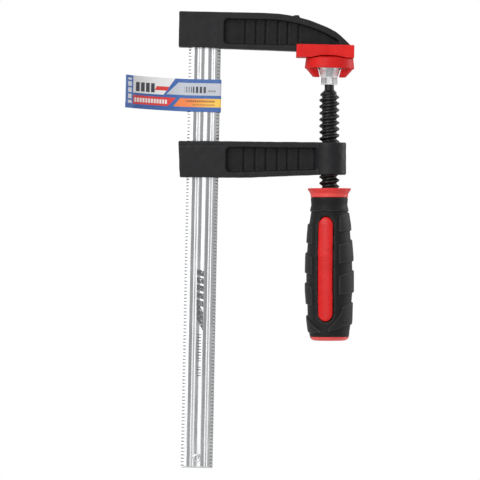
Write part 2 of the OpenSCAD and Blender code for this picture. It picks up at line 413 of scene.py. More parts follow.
def pad_metal_look():
    look = Look("plated pad", Metallic=0.45, Specular_IOR_Level=0.6)
    patches = look.noise(1.8, 3.0)
    turning = look.noise(0.22, 2.0, scale=(0.06, 0.06, 1))
    colour = look.mix(look.ramp(patches, 0.35, 0.7), (0.80, 0.81, 0.825), (0.95, 0.95, 0.955))
    # painted shade in corners and grooves, where the edge attribute is below 0
    colour = look.mix(look.ramp(look.attribute("edge"), -0.2, -0.05, 0.7, 0.0), colour, (0.2, 0.2, 0.21))
    # painted shade per facet: some facets and the octagon's corner lines are darker, as shaded copies of the
    # plating
    colour = look.mix(look.attribute("painted_facet_shade"), colour, (0.16, 0.16, 0.175))
    look.bump(turning, 0.004, 0.3)
    look.bump(look.noise(0.9, 2.0), 0.004, 0.2)
    return look.finish(colour, look.ramp(patches, 0.3, 0.7, 0.28, 0.38))


def screw_look():
    """Black oxide on a rolled thread, rubbed grey and oily on its crests."""
    look = Look("black oxide", Specular_IOR_Level=0.38)
    crest = look.attribute("crest")
    patches = look.noise(1.3, 4.0)
    wear_and_sheen = look.times(look.ramp(crest, 0.82, 1.0), look.ramp(patches, 0.45, 0.68))
    colour = look.mix(look.ramp(patches, 0.3, 0.7), (0.004, 0.004, 0.0045), (0.0095, 0.0095, 0.010))
    colour = look.mix(look.times(wear_and_sheen, 0.7), colour, (0.085, 0.083, 0.08))
    look.bump(patches, 0.07, 0.6)
    look.bump(look.noise(0.3, 2.0), 0.02, 0.6)
    roughness = look.ramp(look.noise(0.7), 0.3, 0.7, 0.32, 0.5)
    return look.finish(colour, roughness, look.times(wear_and_sheen, 0.5))


def red_look(name, low, high, gloss, grain, shine=0.2):
    """Moulded red plastic, satin to glossy: fine grain, faint flow clouds, paler rubbed edges, painted corner
    shade and highlights.
    """
    look = Look(name, IOR=1.45, Specular_IOR_Level=shine)
    clouds = look.noise(7.0, 3.0)
    colour = look.mix(look.ramp(clouds, 0.3, 0.7), low, high)
    edge = look.attribute("edge")
    wear_and_sheen = look.times(look.ramp(edge, 0.10, 0.28), look.ramp(look.noise(1.5), 0.3, 0.6))
    colour = look.mix(look.times(wear_and_sheen, 0.22), colour, (0.88, 0.16, 0.14))
    # painted shade in corners and grooves, where the edge attribute is below 0
    colour = look.mix(look.ramp(edge, -0.2, -0.04, 0.55, 0.0), colour, (0.25, 0.006, 0.006))
    # painted highlight: paler where the piece's attribute marks it (the core's collar and end rim)
    colour = look.mix(look.times(look.attribute("wear_and_sheen"), 0.45), colour, (0.92, 0.17, 0.15))
    look.bump(look.noise(0.35, 2.0), grain, 0.5)
    look.bump(look.cells(1.1, feature="SMOOTH_F1"), grain * 0.8, 0.35)
    return look.finish(colour, look.ramp(look.noise(2.0), 0.3, 0.7, gloss, gloss + 0.09))


def grip_look():
    look = Look("soft black grip", IOR=1.45, Specular_IOR_Level=0.24,
                Sheen_Weight=0.06, Sheen_Roughness=0.5)
    edge = look.attribute("edge")
    clouds = look.noise(5.0, 3.0)
    grain = look.cells(0.34, feature="SMOOTH_F1")
    colour = look.mix(look.ramp(clouds, 0.3, 0.7), (0.0058, 0.0058, 0.0062), (0.0088, 0.0088, 0.0092))
    colour = look.mix(look.times(look.attribute("raised"), 0.6), colour, (0.018, 0.0172, 0.018))
    # paler pad rims: edge wear, and partly a painted highlight along the rims
    wear_and_sheen = look.times(look.ramp(edge, 0.05, 0.18), look.ramp(look.noise(1.7), 0.3, 0.6))
    colour = look.mix(look.times(wear_and_sheen, 0.6), colour, (0.10, 0.097, 0.095))
    # painted shade in the corners and grooves round the pads, where the edge attribute is below 0
    colour = look.mix(look.ramp(edge, -0.12, -0.02, 0.95, 0.0), colour, (0.0012, 0.0012, 0.0012))
    look.bump(grain, 0.035, 0.6)
    look.bump(look.noise(0.15, 2.0), 0.012, 0.5)
    return look.finish(colour, look.ramp(look.noise(0.9), 0.3, 0.7, 0.52, 0.66))


# Print of the card label. Widths run from the bar's right side, heights down from the top edge.
LABEL_BLUE = (0.032, 0.115, 0.37)
LABEL_SILVER = (0.62, 0.64, 0.68)
LABEL_RED = (0.70, 0.035, 0.03)
LABEL_ORANGE = (0.84, 0.20, 0.035)
LABEL_YELLOW = (0.90, 0.56, 0.07)


def card_look():
    look = Look("printed card", IOR=1.5, Specular_IOR_Level=0.5)
    across, down, front = (look.attribute(n) for n in ("across", "down", "front"))

    def box(left, right, top, low, slant=0.0):
        """1 inside a field from left to right and top to low; slant shifts it per millimetre of height."""
        x = look.math("SUBTRACT", across, look.times(down, slant))
        sides = look.times(look.math("GREATER_THAN", x, left), look.math("LESS_THAN", x, right))
        rows = look.times(look.math("GREATER_THAN", down, top), look.math("LESS_THAN", down, low))
        return look.times(sides, rows)

    colour = look.mix(box(-60, 21.6, -1.0, 8.3, 0.68), LABEL_SILVER, LABEL_BLUE)
    colour = look.mix(box(-60, 18.3, 1.8, 7.6, 0.98), colour, (0.50, 0.53, 0.59))
    colour = look.mix(box(-60, 60, 7.6, 16.0), colour, LABEL_BLUE)
    colour = look.mix(box(21.6, 60, -1.0, 8.0, 0.68), colour, (0.80, 0.80, 0.80))
    colour = look.mix(box(12.9, 60, 9.1, 13.2, 0.91), colour, LABEL_RED)
    warm = look.mix(look.ramp(across, 2.0, 17.0, 1.0, 0.0), LABEL_ORANGE, LABEL_YELLOW)
    colour = look.mix(box(-60, 11.9, 9.1, 13.1, 0.8), colour, warm)
    colour = look.mix(box(41.0, 60, -1.0, 16.0), colour, (0.05, 0.17, 0.50))

    def bars(left, right, top, low, pitch, share):
        """A row of short strokes that stands for a line of print."""
        place = look.math("FRACT", look.math("DIVIDE", look.math("SUBTRACT", across, left), pitch))
        return look.times(box(left, right, top, low), look.math("LESS_THAN", place, share))

    dark = (0.035, 0.037, 0.05)
    # lines of strokes: left, right, top, low, pitch and share of the pitch, then their ink
    colour = look.mix(bars(31.2, 40.2, 2.9, 7.2, 2.3, 0.74), colour, dark)
    colour = look.mix(box(22.3, 28.2, 4.1, 6.0, 0.5), colour, LABEL_RED)
    for line, ink in (((7.2, 13.3, 3.5, 6.5, 1.8, 0.62), dark),
                      ((13.8, 17.2, 3.6, 6.3, 1.1, 0.35), dark),
                      ((2.7, 6.4, 5.1, 6.0, 0.9, 0.6), (0.15, 0.15, 0.17)),
                      ((25.4, 40.4, 10.2, 12.2, 1.3, 0.7), (0.86, 0.80, 0.78)),
                      ((3.0, 16.6, 9.9, 10.8, 0.95, 0.72), (0.30, 0.08, 0.02)),
                      ((3.0, 13.6, 11.7, 12.4, 0.8, 0.65), (0.42, 0.15, 0.03))):
        colour = look.mix(bars(*line), colour, ink)
    column = look.math("FRACT", look.math("DIVIDE", down, 2.9))
    strokes = look.times(box(41.7, 43.3, 1.2, 13.0), look.math("LESS_THAN", column, 0.74))
    colour = look.mix(strokes, colour, (0.78, 0.82, 0.88))
    plain = look.mix(box(-60, 60, 12.6, 16.0), (0.74, 0.75, 0.77), LABEL_BLUE)
    colour = look.mix(front, plain, colour)
    printed = look.math("LESS_THAN", look.attribute("cut"), 0.5)
    colour = look.mix(printed, (0.7, 0.69, 0.66), colour)
    fibre = look.noise(0.5, 4.0)
    colour = look.mix(look.ramp(fibre, 0.3, 0.8, 0.0, 0.12), colour, (0.5, 0.5, 0.52))
    look.bump(look.noise(0.25, 3.0), 0.008, 0.4)
    look.bump(look.noise(4.0, 2.0), 0.05, 0.25)
    return look.finish(colour, look.ramp(look.noise(1.2), 0.3, 0.7, 0.26, 0.38))


CASTING = casting_look()
ZINC = zinc_look()
PIN = pin_look()
PLATED = pad_metal_look()
OXIDE = screw_look()
RED_SOFT = red_look("soft red cap", (0.60, 0.012, 0.011), (0.70, 0.017, 0.015), 0.40, 0.02)
RED_HARD = red_look("red core", (0.57, 0.010, 0.010), (0.66, 0.014, 0.013), 0.22, 0.005, 0.28)
GRIP = grip_look()
CARD = card_look()


# ---------------------------------------------------------------- bar
bar_low, bar_high = extent("bar")
# the bar's end sits a little below the fixed arm's top, in the arm's slot
bar_high[2] = min(bar_high[2], extent("fixed_arm")[1][2] - 0.6)
BAR_X = (bar_low[0] + bar_high[0]) / 2
BAR_HALF = (bar_high[0] - bar_low[0]) / 2
BAR_DEEP = (bar_high[1] - bar_low[1]) / 2
NOTCH_PITCH = 1.6
NOTCH_DEPTH = 0.42


def bar_groove(u):
    """Depth of the three lengthwise scallops of the broad faces; the middle one is shallow."""
    depth = 0
    for centre, deep, width in ((-3.3, 0.45, 3.1), (0.0, 0.22, 3.1), (3.3, 0.45, 3.1)):
        depth = depth + deep * np.cos(np.clip(abs(u - centre) / (width / 2), 0, 1) * math.pi / 2) ** 2
    return depth


def rail_fall(u):
    """The two outer rails of each broad face fall a little towards the bar's edges."""
    return 0.22 * np.clip((abs(u) - 4.9) / 2.2, 0, 1)


def build_bar():
    """The bar's section swept up Z, with V notches rolled into its four long corners."""
    chamfer = 0.35
    face = np.concatenate([[-BAR_HALF + chamfer], np.linspace(-6.95, 6.95, 94), [BAR_HALF - chamfer]])
    side = np.linspace(-BAR_DEEP + chamfer, BAR_DEEP - chamfer, 9)
    outline = [(u, -BAR_DEEP + bar_groove(u) + rail_fall(u)) for u in face]
    outline += [(BAR_HALF, y) for y in side]
    outline += [(u, BAR_DEEP - bar_groove(u) - rail_fall(u)) for u in face[::-1]]
    outline += [(-BAR_HALF, y) for y in side[::-1]]
    outline = np.array(outline)
    step = NOTCH_PITCH / 8
    heights = np.arange(bar_low[2], bar_high[2] + step / 2, step)
    heights = np.clip(heights, bar_low[2], bar_high[2])
    heights = np.concatenate([[bar_low[2]], heights, [bar_high[2]]])
    u, y = outline[:, 0][None, :], outline[:, 1][None, :]
    z = heights[:, None]
    # the notches cut the corners: deepest on the narrow sides, running a little way onto the broad faces
    phase = (z / NOTCH_PITCH) % 1
    vee = np.clip(1 - np.abs(phase - 0.5) / 0.34, 0, 1)
    on_side = np.clip((np.abs(u) - 5.8) / 1.25, 0, 1) ** 1.2
    cut = vee * on_side
    ends = smooth(0, 0.6, z - bar_low[2]) * smooth(0, 0.3, bar_high[2] - z)
    trim = 0.25 * (1 - ends)
    corner = np.clip(np.abs(y) / BAR_DEEP, 0, 1) ** 2
    x = u - np.sign(u) * (cut * NOTCH_DEPTH * (0.35 + 0.65 * corner) + trim)
    yy = y - np.sign(y) * (cut * 0.32 * corner + trim)
    rough = 0.02 * waves(z, np.abs(y), seed=3, size=9.0)
    x = np.clip(x + rough, -BAR_HALF, BAR_HALF)
    rings = np.stack([BAR_X + x, yy, z + 0 * x], -1)
    # notch: how deep the cut is, which darkens the zinc as painted shade in the notches
    notch = (cut * (np.abs(u) < BAR_HALF - 0.02) + 0.55 * cut * (np.abs(u) >= BAR_HALF - 0.02)).ravel()

    # dark strokes up the front that say nothing: blocks first, thin strokes below
    stroke_u = between(-1.6, 1.7, u, 0.2)
    thin_u = between(-1.1, 1.1, u, 0.2)
    blocks = 0
    for k in range(5):
        top = -100.8 - 3.55 * k
        slant = (u + 0.1) * 0.25
        blocks = np.maximum(blocks, between(top - 2.7, top, z + slant, 0.2))
    lines = 0
    for k in range(7):
        top = -131.0 - 2.75 * k - (1.4 if k > 4 else 0)
        hollow = 1 - 0.8 * between(top - 1.25, top - 0.45, z, 0.2)
        lines = np.maximum(lines, between(top - 1.7, top, z, 0.2) * hollow)
    bar_mark = between(-128.2, -119.4, z + (u - 1.0) * 1.9, 0.3) * between(-1.4, 1.6, u, 0.2)
    ink = (y < 0) * np.maximum(np.maximum(blocks * stroke_u, 0.9 * lines * thin_u), bar_mark)
    points, faces = tube_mesh(rings)
    piece = make("bar_rail", points, faces, "frame", ["bar"], ZINC,
                 {"notch": notch, "print": (ink + 0 * x).ravel()}, sharp=50)
    drill = bpy.data.meshes.new("drill")
    low, high = extent("stop_pin")
    centre, radius = (low + high) / 2, (high[2] - low[2]) / 2 + 0.01
    turn = around(64)
    ring = np.stack([np.cos(turn) * radius + centre[0], 0 * turn, np.sin(turn) * radius + centre[2]], -1)
    tube = np.stack([ring + [0, -6, 0], ring + [0, 6, 0]])
    drill.from_pydata((tube.reshape(-1, 3) * MM).tolist(), [], tube_mesh(tube)[1])
    cutter = bpy.data.objects.new("drill", drill)
    bpy.context.scene.collection.objects.link(cutter)
    hole = piece.modifiers.new("pin hole", "BOOLEAN")
    hole.object = cutter
    hole.solver = "EXACT"
    graph = bpy.context.evaluated_depsgraph_get()
    piece.data = bpy.data.meshes.new_from_object(piece.evaluated_get(graph))
    piece.modifiers.clear()
    bpy.data.objects.remove(cutter)
    return piece


def build_pin():
    """Hollow rolled pin with flared, rounded ends."""
    low, high = extent("stop_pin")
    centre = (low + high) / 2
    radius, half, hole = (high[2] - low[2]) / 2, (high[1] - low[1]) / 2, 0.8
    lip = [[radius - 0.1, 0.9], [radius - 0.02, 0.45], [radius - 0.12, 0.15], [radius - 0.45, 0],
           [hole + 0.35, 0.08], [hole + 0.05, 0.4], [hole, 1.0]]
    # the loop runs round the front lip, through the bore, round the back lip, and back along the outside
    profile = [[r, z - half] for r, z in lip] + [[r, half - z] for r, z in lip[::-1]]
    rings = turned(fine(profile, 0.25), around(64))
    rings = np.stack([rings[..., 0] + centre[0], rings[..., 2], rings[..., 1] + centre[2]], -1)
    points, faces = tube_mesh(rings, closed=True)
    return make("stop_pin_rolled", points, faces, "frame", ["stop_pin"], PIN, sharp=60)


# ---------------------------------------------------------------- castings
WEB_FACE = 2.2  # half the thickness of the arms' webs, the floors of their recesses
HEAD_FACE = 5.7  # half the thickness of the arms
BOW_R, BOW_START = 72.0, -30.5  # the arc that the fixed arm's top follows towards its tip


def groove(x, centre, width=0.8):
    return np.exp(-(((x - centre) / (width / 2)) ** 2) * 1.6)


def ribbed(points, normals, lines, low, high):
    """Presses upright grooves into the recess floors on both sides of an arm, between two heights."""
    x, y, z = points.T
    flat = (np.abs(np.abs(y) - WEB_FACE) < 0.5) & (np.abs(normals[:, 1]) > 0.7)
    press = sum(groove(x, line) for line in lines)
    press = press * smooth(low, low + 0.6, z) * (1 - smooth(high - 0.6, high, z))
    out = points.copy()
    out[:, 1] -= np.sign(y) * flat * press * 0.6
    return out


def arm_marks(mesh, own, crease=0.0):
    """Edge and recess attributes of an arm (recess: painted shade on its floors); crease adds a painted
    highlight on the edges' own.
    """
    normals = mesh_arrays(mesh)[1]
    # the recess floors, which the casting colour darkens as painted shade
    recess = (np.abs(own[:, 1]) < WEB_FACE + 1) & (np.abs(normals[:, 1]) > 0.7)
    return {"edge": roundness(mesh) + crease, "recess": recess.astype(float)}


def build_fixed_arm():
    mesh = cast_copy("fixed_arm", 0.3, 14)
    points, normals = mesh_arrays(mesh)[:2]
    points = ribbed(points, normals, (-39.6, -34.6, -30.1, -24.3, -19.7, -14.6), 5.2, 17.4)
    points += normals * 0.035 * waves(*points.T, seed=5, size=5.0)[:, None]
    # the bow falls faster towards the tip, above the cap
    x, z = points[:, 0], points[:, 2]
    cap_top = 5.8
    bow = extent("fixed_arm")[1][2] - BOW_R + np.sqrt(BOW_R ** 2 - np.clip(x - BOW_START, 0, None) ** 2)
    fall = 2.0 * np.clip((x - 2.5) / 7, 0, 1) ** 1.2
    lowered = cap_top + (z - cap_top) * (bow - fall - cap_top) / (bow - cap_top)
    points[:, 2] = np.where(z > cap_top, lowered, z)
    settle(mesh, points, "fixed_arm")
    return dress("fixed_arm_casting", mesh, "frame", ["fixed_arm"], CASTING,
                 arm_marks(mesh, points))


def build_sliding_arm():
    mesh = cast_copy("sliding_arm", 0.3, 14)
    points, normals = mesh_arrays(mesh)[:2]
    own = unlean(points)
    own = ribbed(own, normals, (-40.2, -34.9, -29.8, -24.5, -19.7, -14.3), -53.6, -42.0)
    # a crease along the head, under its top edge, with a painted highlight line along it
    head = (np.abs(np.abs(own[:, 1]) - HEAD_FACE) < 0.4) & (own[:, 0] < -48.8)
    crease = head * groove(own[:, 2], -41.5, 0.7)
    own[:, 1] -= np.sign(own[:, 1]) * 0.12 * crease
    points = lean(own)
    points += normals * 0.035 * waves(*points.T, seed=8, size=5.0)[:, None]
    settle(mesh, points, "sliding_arm")
    # the crease's painted highlight goes in through the edge attribute
    return dress("sliding_arm_casting", mesh, "riding_arm", ["sliding_arm"], CASTING,
                 arm_marks(mesh, own, 0.3 * crease))


# ---------------------------------------------------------------- jaws
DISH_X, DISH_DEPTH = (-8.5, -4.2, 3.0, 7.3), 0.85  # section of the dish across the fixed jaw's cap


def build_jaw_cap():
    mesh = cast_copy("fixed_jaw_cap", 0.25, 12)
    points, normals = mesh_arrays(mesh)[:2]
    points += normals * 0.03 * waves(*points.T, seed=11, size=6.0)[:, None]
    settle(mesh, points, "fixed_jaw_cap")
    return dress("fixed_jaw_cap_soft", mesh, "frame", ["fixed_jaw_cap"], RED_SOFT,
                 {"edge": roundness(mesh)})


def build_pad_cap():
    mesh = cast_copy("pad_cap", 0.2, 4)
    points, normals = mesh_arrays(mesh)[:2]
    points += normals * 0.02 * waves(*points.T, seed=12, size=5.0)[:, None]
    # the soft crown takes the shape of the dish that it is pressed into
    x, y, z = points.T
    dish = np.interp(x, DISH_X, (0.0, DISH_DEPTH, DISH_DEPTH, 0.0)) - 0.25
    crown = dish * (1 - smooth(6.5, 10.8, np.abs(y)))
    top = (z > -0.45) & (np.hypot(x, y) < 9.5)
    lift = smooth(-0.45, -0.2, z)
    points[:, 2] = np.where(top, np.maximum(z, crown * lift + z * (1 - lift)), z)
    points[:, :2] *= 1.015
    settle(mesh, points, "pad_cap", 0.3)
    return dress("pad_cap_soft", mesh, "pad", ["pad_cap"], RED_SOFT, {"edge": roundness(mesh)})


def build_pad():
    """Plated pad: flange, cone, and an eight-sided collar crimped round the ball."""
    low, high = extent("pressure_pad")
    centre = (low + high) / 2
    top, bottom = high[2], low[2]
    flange_r = (high[0] - low[0]) / 2
    collar_top, collar_r = -9.2, 3.95
    bore = 2.65
    outside = [[0.4, top], [flange_r - 0.3, top], [flange_r, top - 0.3], [flange_r, top - 2.7],
               [flange_r - 0.3, top - 3.0], [5.35, top - 3.0], [5.2, top - 3.3], [4.95, -6.2], [4.5, -7.7],
               [4.15, -8.8], [3.75, collar_top + 0.02], [3.75, collar_top - 0.15],
               [3.95, collar_top - 0.35], [4.05, bottom + 0.75], [3.85, bottom + 0.5], [3.95, bottom + 0.3],
               [3.7, bottom], [bore + 0.25, bottom], [bore, bottom + 0.3], [bore, -8.0],
               [1.2, -7.0], [0.4, -7.0]]

    def crimped(r, z, a):
        """Flattens the rings of the collar and the cone to octagons with a flat facing the front."""
        eighth = ((a + TAU / 16) % (TAU / 8)) - TAU / 16
        flat = np.cos(TAU / 16) / np.cos(eighth)
        collar = between(bottom + 0.6, collar_top - 0.2, z, 0.3) * (r > collar_r - 0.3)
        cone = between(-8.9, -5.5, z, 0.3) * (r > collar_r - 0.3)
        return r * (1 + collar * (flat * 1.03 - 1) + cone * (flat * 1.04 - 1))

    rings = turned(fine(outside, 0.3), around(256), crimped)
    x, y, z = rings[..., 0], rings[..., 1], rings[..., 2]
    # facets, counted from the one at the right: the even ones face front, back and sides
    eighths = (np.arctan2(y, x) / TAU * 8 + 0.5) % 8
    to_front = (eighths // 1) % 2 == 0
    # painted shade: dark lines along the octagon's corners
    painted_corner_lines = 1 - smooth(0.05, 0.12, np.minimum(eighths % 1, 1 - eighths % 1))
    outer = np.hypot(x, y) > 3.6
    # painted shade: the cone's front, back and side facets and the collar's diagonal facets are darkened
    cone = between(collar_top + 0.3, -4.4, z, 0.2) * np.where(to_front, 0.62, 0.0)
    collar = np.maximum(np.where(to_front, 0.1, 0.38), 0.8 * painted_corner_lines)
    collar = collar * between(bottom + 0.5, collar_top - 0.2, z, 0.2)
    painted_facet_shade = (np.maximum(cone, collar) * outer).ravel()
    points, faces = tube_mesh(rings + [centre[0], centre[1], 0], closed=True)
    return mark_edges(make("pressure_pad_plated", points, faces, "pad", ["pressure_pad"], PLATED,
                           {"painted_facet_shade": painted_facet_shade}, sharp=35))


# ---------------------------------------------------------------- screw
screw_low, screw_high = extent("spindle", own=True)
core_low, core_high = extent("handle_core", own=True)
THREAD_R = screw_high[0]
THREAD_LOW = core_high[2]
PITCH = 3.0
BALL_Z = -8.0


def build_spindle():
    """Ball and neck, then a rolled right-hand thread as one surface of radius over angle and height."""
    angles = around(120)
    root, crest = THREAD_R - 1.35, THREAD_R
    ball = [[3.0 * math.sin(t), BALL_Z + 3.0 * math.cos(t)] for t in np.linspace(0.06, 2.3, 20)]
    neck = [[2.2, -11.0], [2.2, -14.4]]
    profile = fine(ball + neck, 0.4)
    heights = np.arange(-14.6, THREAD_LOW - 0.2, -0.16)
    tang = [[root, THREAD_LOW - 0.3], [3.95, THREAD_LOW - 0.5],
            [3.95, screw_low[2] + 0.3], [3.6, screw_low[2]]]
    top_rings = turned(profile, angles)
    a, z = angles[None, :], heights[:, None]
    places = (np.cos(a) * 4 + 0 * z, np.sin(a) * 4 + 0 * z, z + 0 * a)
    wobble = 0.10 * waves(*places, seed=21, size=3.5)
    # the crest passes the left side at -19.88 and climbs to the right across the front
    phase = ((z + wobble + 19.88) / PITCH - (a - math.pi) / TAU + 0.5) % 1 - 0.5
    tooth = 1 - smooth(0.03, 0.42, np.abs(phase))
    fade = smooth(0.6, 3.4, -14.8 - z)
    shank = 2.2 + (root - 2.2) * smooth(0.0, 1.7, -14.7 - z)
    radius = shank + (crest - root) * tooth * fade
    radius = np.minimum(radius + 0.03 * waves(*places, seed=22, size=1.6), crest)
    thread = np.stack([radius * np.cos(a), radius * np.sin(a), z + 0 * a], -1)
    low_rings = turned(fine(tang, 2.0), angles)
    rings = np.concatenate([top_rings, thread, low_rings])
    worn = np.concatenate([np.zeros(top_rings.shape[:2]), tooth * fade, np.zeros(low_rings.shape[:2])])
    points, faces = tube_mesh(lean(rings))
    return make("spindle_threaded", points, faces, "screw", ["spindle"], OXIDE,
                {"crest": worn.ravel()}, sharp=70)


# ---------------------------------------------------------------- handle
HANDLE_TOP, HANDLE_LOW = core_high[2], core_low[2]
# depth below the handle's top, and radius of its outer skin there
OUTLINE = np.array([[0, 10.2], [0.9, 10.1], [4.2, 8.8], [7.9, 8.5], [11.2, 9.3], [16.9, 10.2], [24.4, 10.8],
                    [31.9, 11.4], [41.3, 11.6], [47.9, 11.6], [54.5, 11.1], [62, 10.9], [66.7, 10.3],
                    [69.5, 9.3], [70.3, 9.0], [70.9, 8.5], [71.3, 7.9], [71.5, 7.3], [71.6, 6.6]])
COLLAR_LOW, RIM_TOP = 4.2, 69.8
WINDOW_TURN = math.radians(-102.5)
WINDOW_TOP, WINDOW_LOW, WINDOW_HALF = 13.0, 63.0, 4.6
PAD_RISE = 0.75
# pads from the collar down: top and low edge on the outer line, then how far both drop towards the window
RIGHT_PADS = ((10.7, 19.6, 2.3, 0.8), (24.0, 33.9, 2.5, 1.3), (38.5, 48.7, 2.6, 1.2), (53.5, 63.5, 2.8, 1.5))
LEFT_PADS = ((16.3, 25.5, 2.2, 0.5), (30.1, 39.7, 2.2, 0.5), (44.3, 54.3, 2.2, 0.5))
BORDER, SIDE = 7.2, 17.0


def outline_at(s):
    return np.interp(s, OUTLINE[:, 0], OUTLINE[:, 1])


def window_arc(a, s):
    """Signed distance round the handle from the nearer window's centre line: above 0 to the right of it."""
    half = TAU / 2
    offset = (a - WINDOW_TURN + half / 2) % half - half / 2
    return offset * outline_at(s)


def window_inside(arc, s, grow):
    """How far inside the window's rounded outline a point is, after the outline is grown."""
    nearest = np.clip(s, WINDOW_TOP + WINDOW_HALF, WINDOW_LOW - WINDOW_HALF)
    return WINDOW_HALF + grow - np.hypot(arc, s - nearest)


def pad_cover(a, s):
    """1 on the raised pads of the grip and 0 between them."""
    arc = window_arc(a, s)
    facing = np.cos(a - WINDOW_TURN) >= 0
    # the column on the right of the front window reaches round to the left of the back one
    right = np.where(facing, arc >= 0, arc < 0)
    away = np.abs(arc)
    t = np.clip((away - BORDER) / (SIDE - BORDER), 0, 1)
    soft = 0.4  # width of the pads' edges
    cover = 0
    for column, pads in ((right, RIGHT_PADS), (~right, LEFT_PADS)):
        for top, low, drop_top, drop_low in pads:
            edge_top = top + drop_top * (1 - t)
            edge_low = low + drop_low * (1 - t)
            side = smooth(BORDER - soft / 2, BORDER + soft / 2, away)
            if low > 60:  # the lowest right pad runs on under the window, down to its middle
                curl = 1 - np.clip((away - 1.0) / (BORDER + 1.5 - 1.0), 0, 1)
                under = np.maximum(edge_top, 57.4 + 9.0 * curl ** 0.8)
                edge_top = np.where(away < BORDER + 1.5, under, edge_top)
                edge_low = edge_low + 2.6 * curl
                side = smooth(1.0, 1.4, away)
            cover = np.maximum(cover, column * side * between(edge_top, edge_low, s, soft))
    # the lowest left pad is a wedge: a slanted upper edge and a level lower one
    slope_top = 59.7 + (67.8 - 59.7) * (1 - np.clip((away - 1.5) / (SIDE - 4.5), 0, 1))
    cover = np.maximum(cover, ~right * between(slope_top, 67.8, s, soft))
    return cover * (window_inside(arc, s, 1.6) < 0)


def handle_points(radius, a, s):
    return np.stack([radius * np.cos(a), radius * np.sin(a), HANDLE_TOP - s + 0 * a], -1)


def build_grip():
    """Soft grip: an outer skin with raised pads and two windows, and an inner skin on the core's tube."""
    angles = around(300)
    rows = np.arange(COLLAR_LOW + 0.25, RIM_TOP - 0.1, 0.24)
    rows = np.concatenate([[COLLAR_LOW + 0.05], rows, [RIM_TOP - 0.03]])
    a, s = angles[None, :], rows[:, None]
    base = outline_at(s)
    body = smooth(10.4, 11.2, s) * (1 - 0.8 * smooth(66.5, 69.5, s))
    cover = pad_cover(a, s)
    radius = base - PAD_RISE * body + PAD_RISE * body * cover
    radius = radius - 0.25 * between(COLLAR_LOW - 1, COLLAR_LOW + 0.5, s, 0.4)
    arc = window_arc(a, s)
    inside = window_inside(arc, s, 0.0)
    tube = np.minimum(7.65, base - 2.15)
    # the rim of each window rolls in, then the skin drops under the panel
    radius = radius - 0.35 * smooth(-1.3, -0.1, inside)
    floor = tube + 0.04
    radius = np.where(inside > 0, floor + (radius - floor) * (1 - smooth(0.0, 0.35, inside)), radius)
    radius = np.minimum(radius, base)
    outer = handle_points(radius, a, s)
    inner_rows = rows[::-1][:, None]
    inner = handle_points(np.minimum(7.62, outline_at(inner_rows) - 2.2) + 0 * a, a, inner_rows)
    rings = np.concatenate([outer, inner])
    points, faces = tube_mesh(lean(rings), closed=True)
    raised = np.concatenate([(cover * body + 0 * a).ravel(), np.zeros(len(rows) * len(angles))])
    return mark_edges(make("handle_grip_soft", points, faces, "screw", ["handle_grip"], GRIP,
                           {"raised": raised}))


def build_core():
    """Stiff core: flared collar, end rim, and the two panels that fill the grip's windows."""
    angles = around(300)
    rows = np.concatenate([np.arange(0.25, COLLAR_LOW, 0.25), [COLLAR_LOW, COLLAR_LOW + 0.02],
                           np.arange(COLLAR_LOW + 0.3, RIM_TOP - 0.1, 0.28), [RIM_TOP - 0.02, RIM_TOP],
                           np.arange(RIM_TOP + 0.15, 71.6, 0.15), [71.59]])
    a, s = angles[None, :], rows[:, None]
    base = outline_at(s)
    # the collar's lip is rounded and its flare sweeps in to a level foot
    flare = (1 - smooth(-1.2, 3.3, s)) / (1 - smooth(-1.2, 3.3, 0.6))
    base = np.where(s < COLLAR_LOW, np.minimum(base, 8.8 + 1.4 * flare), base)
    shown = (s <= COLLAR_LOW) | (s >= RIM_TOP)
    tube = np.minimum(7.6, base - 2.2)
    inside = window_inside(window_arc(a, s), s, -0.4)
    panel_face = base - 0.75
    panel = tube + (panel_face - tube) * smooth(0.0, 0.3, inside) - 0.22 * (1 - smooth(0.2, 1.1, inside))
    hidden = np.where(inside > 0, np.maximum(panel, tube), tube)
    radius = np.where(shown, base, hidden)
    side = handle_points(radius, a, s)
    lip = [[8.6, HANDLE_TOP - 0.35], [9.2, HANDLE_TOP - 0.02], [9.9, HANDLE_TOP], [10.15, HANDLE_TOP - 0.1]]
    top = turned(lip, angles)
    throat = turned([[4.3, HANDLE_TOP - 0.6], [4.6, HANDLE_TOP - 0.4]], angles)
    end = turned([[5.6, HANDLE_LOW], [4.4, HANDLE_LOW + 0.05], [4.1, HANDLE_LOW + 0.5],
                  [1.2, HANDLE_LOW + 0.7], [0.2, HANDLE_LOW + 0.72]], angles)
    bore_top = turned([[4.02, HANDLE_TOP - 1.0]], angles)
    floor = turned([[4.02, screw_low[2] - 0.1], [0.2, screw_low[2] - 0.2]], angles)
    rings = np.concatenate([floor[::-1], bore_top, throat, top, side, end])
    # painted highlight: the collar, most at its foot, and the end rim are painted paler than the panels
    depth = HANDLE_TOP - rings[..., 2]
    wear_and_sheen = 0.35 * between(-1, 4.3, depth, 0.2) + 0.65 * between(2.5, 3.9, depth, 0.9)
    wear_and_sheen = wear_and_sheen + 0.9 * smooth(RIM_TOP - 0.1, RIM_TOP, depth)
    wear_and_sheen = wear_and_sheen * (np.hypot(rings[..., 0], rings[..., 1]) > 7.8)
    points, faces = tube_mesh(lean(rings))
    return mark_edges(make("handle_core_red", points, faces, "screw", ["handle_core"], RED_HARD,
                           {"wear_and_sheen": wear_and_sheen.ravel()}))


